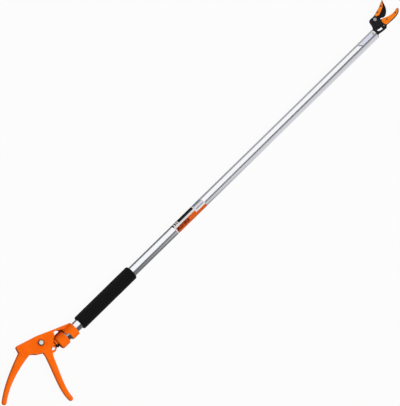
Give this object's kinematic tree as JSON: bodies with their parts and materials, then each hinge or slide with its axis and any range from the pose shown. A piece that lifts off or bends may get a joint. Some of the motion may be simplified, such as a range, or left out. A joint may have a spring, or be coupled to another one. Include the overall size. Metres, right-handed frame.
{
  "type": "tree pruner pole",
  "caption": "Long reach cut-and-hold tree pruner: pistol grip with trigger, straight pole with foam grip, pull rod, and a turning head with bypass and holding jaws.",
  "frame": {"origin": "on the pole's axis at the middle of the foam grip", "axes": "+X along the pole towards the jaws, +Y across it in the plane of the pistol grip, on the side of the trigger's pivot, +Z square to the handle's flat side, towards the bolt head; the tool lies on its side"},
  "size_m": [1.1911, 0.1595, 0.0372],
  "materials": {
    "orange_casting": "orange powder coat on die casting",
    "orange_steel": "orange coat",
    "black_steel": "black non-stick coat",
    "dark_rivet": "dark",
    "bright_steel": "zinc plated",
    "tube_aluminium": "satin anodised",
    "foam": "closed cell foam",
    "nylon": "natural"
  },
  "bodies": {
    "handle": {"handle_casting": "orange_casting", "collar_bush": "nylon", "trigger_bolt": "bright_steel", "trigger_washer": "bright_steel", "trigger_nut": "bright_steel"},
    "trigger": {"trigger": "orange_casting", "trigger_bush": "nylon"},
    "yoke": {"rod_yoke": "black_steel", "pull_pin": "bright_steel", "pull_pin_clip": "bright_steel"},
    "rod": {"pull_rod": "bright_steel", "rod_stop": "bright_steel", "pull_link": "black_steel", "link_nut": "bright_steel"},
    "pole": {"pole_tube": "tube_aluminium", "turning_knob": "orange_casting", "knob_screw": "bright_steel", "retaining_ring": "bright_steel", "foam_grip": "foam", "tube_plug": "nylon", "rod_guides": "nylon", "return_spring": "bright_steel", "head_socket": "black_steel", "tube_rivets": "bright_steel", "counter_blade": "black_steel", "counter_rivets": "black_steel", "counter_hold_plate": "orange_steel", "counter_plate_rivets": "dark_rivet", "blade_bolt": "bright_steel", "blade_washer": "bright_steel", "blade_nut": "bright_steel"},
    "blade": {"cutting_blade": "black_steel", "link_pin": "bright_steel", "blade_hold_plate": "orange_steel", "blade_plate_rivets": "dark_rivet"}
  },
  "joints": [
    {"name": "trigger_pivot", "type": "hinge", "parent": "handle", "child": "trigger", "pos_m": [-0.1635, 0.0264, 0], "axis": [0, 0, 1], "range_deg": [-31.9, 0], "stiffness_Nm_per_rad": 0.8, "springref_deg": 14.32},
    {"name": "yoke_slide", "type": "slide", "parent": "handle", "child": "yoke", "axis": [1, 0, 0], "range_m": [-0.01518, 0], "deforming": ["return_spring"]},
    {"name": "pole_turn", "type": "hinge", "parent": "handle", "child": "pole", "pos_m": [0, 0, 0], "axis": [1, 0, 0], "range_deg": [-180, 180]},
    {"name": "rod_turn", "type": "hinge", "parent": "yoke", "child": "rod", "pos_m": [0, 0, 0], "axis": [1, 0, 0], "range_deg": [-180, 180]},
    {"name": "blade_pivot", "type": "hinge", "parent": "pole", "child": "blade", "pos_m": [0.8275, 0.0217, 0], "axis": [0, 0, 1], "range_deg": [-39, 0]}
  ],
  "couplings": [
    {"joint": "yoke_slide", "follows": "trigger_pivot", "m_per_rad": 0.02725},
    {"joint": "blade_pivot", "follows": "trigger_pivot", "ratio": 1.2223},
    {"joint": "rod_turn", "follows": "pole_turn", "ratio": 1}
  ]
}
